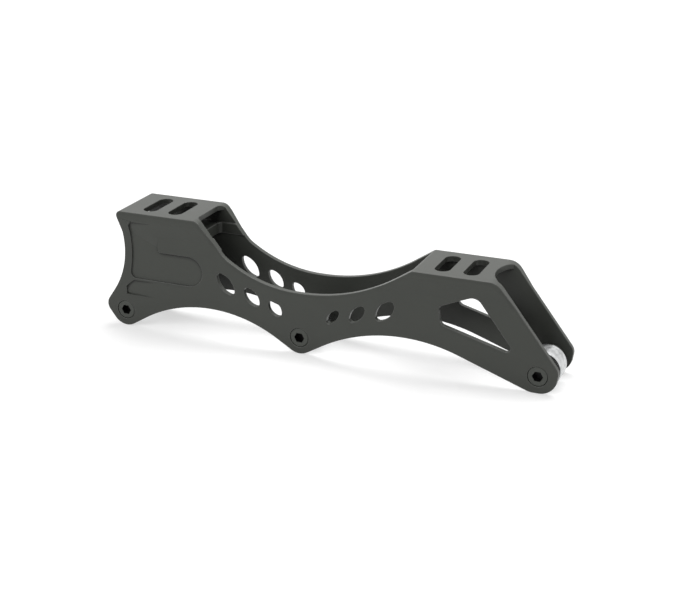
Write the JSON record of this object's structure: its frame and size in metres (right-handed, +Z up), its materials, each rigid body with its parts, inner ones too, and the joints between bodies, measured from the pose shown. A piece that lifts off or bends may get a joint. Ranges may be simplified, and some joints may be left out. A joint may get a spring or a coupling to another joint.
{
  "type": "inline skate frame",
  "caption": "One-piece metal inline skate frame with a high heel platform, a lower toe platform, pierced side walls, axle bolts and a ball bearing on each axle.",
  "frame": {"origin": "middle of the frame's length and width, at the height of the lowest point", "axes": "+X from heel to toe, +Y from the wall with the axle heads to the other wall, +Z up towards the boot"},
  "size_m": [0.2536, 0.0358, 0.0665],
  "materials": {
    "frame_metal": "dark grey satin coat",
    "axle_steel": "dark satin",
    "ring_steel": "ground bright steel",
    "ball_steel": "polished",
    "cage_metal": "pressed sheet",
    "shield_steel": "pressed sheet"
  },
  "bodies": {
    "frame": {"chassis": "frame_metal", "rear_axle": "axle_steel", "middle_axle": "axle_steel", "front_axle": "axle_steel", "rear_bearing_inner_ring": "ring_steel", "middle_bearing_inner_ring": "ring_steel", "front_bearing_inner_ring": "ring_steel"},
    "rear_bearing_race": {"rear_bearing_outer_ring": "ring_steel", "rear_bearing_near_shield": "shield_steel", "rear_bearing_far_shield": "shield_steel"},
    "rear_bearing_train": {"rear_bearing_cage": "cage_metal", "rear_bearing_balls": "ball_steel"},
    "middle_bearing_race": {"middle_bearing_outer_ring": "ring_steel", "middle_bearing_near_shield": "shield_steel", "middle_bearing_far_shield": "shield_steel"},
    "middle_bearing_train": {"middle_bearing_cage": "cage_metal", "middle_bearing_balls": "ball_steel"},
    "front_bearing_race": {"front_bearing_outer_ring": "ring_steel", "front_bearing_near_shield": "shield_steel", "front_bearing_far_shield": "shield_steel"},
    "front_bearing_train": {"front_bearing_cage": "cage_metal", "front_bearing_balls": "ball_steel"}
  },
  "joints": [
    {"name": "rear_race_spin", "type": "hinge", "parent": "frame", "child": "rear_bearing_race", "pos_m": [-0.11545, -0.0012, 0.0095], "axis": [0, 1, 0], "continuous": true},
    {"name": "rear_train_spin", "type": "hinge", "parent": "frame", "child": "rear_bearing_train", "pos_m": [-0.11545, -0.0012, 0.0095], "axis": [0, 1, 0], "continuous": true},
    {"name": "middle_race_spin", "type": "hinge", "parent": "frame", "child": "middle_bearing_race", "pos_m": [-0.01145, -0.0012, 0.0095], "axis": [0, 1, 0], "continuous": true},
    {"name": "middle_train_spin", "type": "hinge", "parent": "frame", "child": "middle_bearing_train", "pos_m": [-0.01145, -0.0012, 0.0095], "axis": [0, 1, 0], "continuous": true},
    {"name": "front_race_spin", "type": "hinge", "parent": "frame", "child": "front_bearing_race", "pos_m": [0.11655, -0.0012, 0.0095], "axis": [0, 1, 0], "continuous": true},
    {"name": "front_train_spin", "type": "hinge", "parent": "frame", "child": "front_bearing_train", "pos_m": [0.11655, -0.0012, 0.0095], "axis": [0, 1, 0], "continuous": true}
  ],
  "couplings": [
    {"joint": "rear_train_spin", "follows": "rear_race_spin", "ratio": 0.61111},
    {"joint": "middle_train_spin", "follows": "middle_race_spin", "ratio": 0.61111},
    {"joint": "front_train_spin", "follows": "front_race_spin", "ratio": 0.61111}
  ]
}
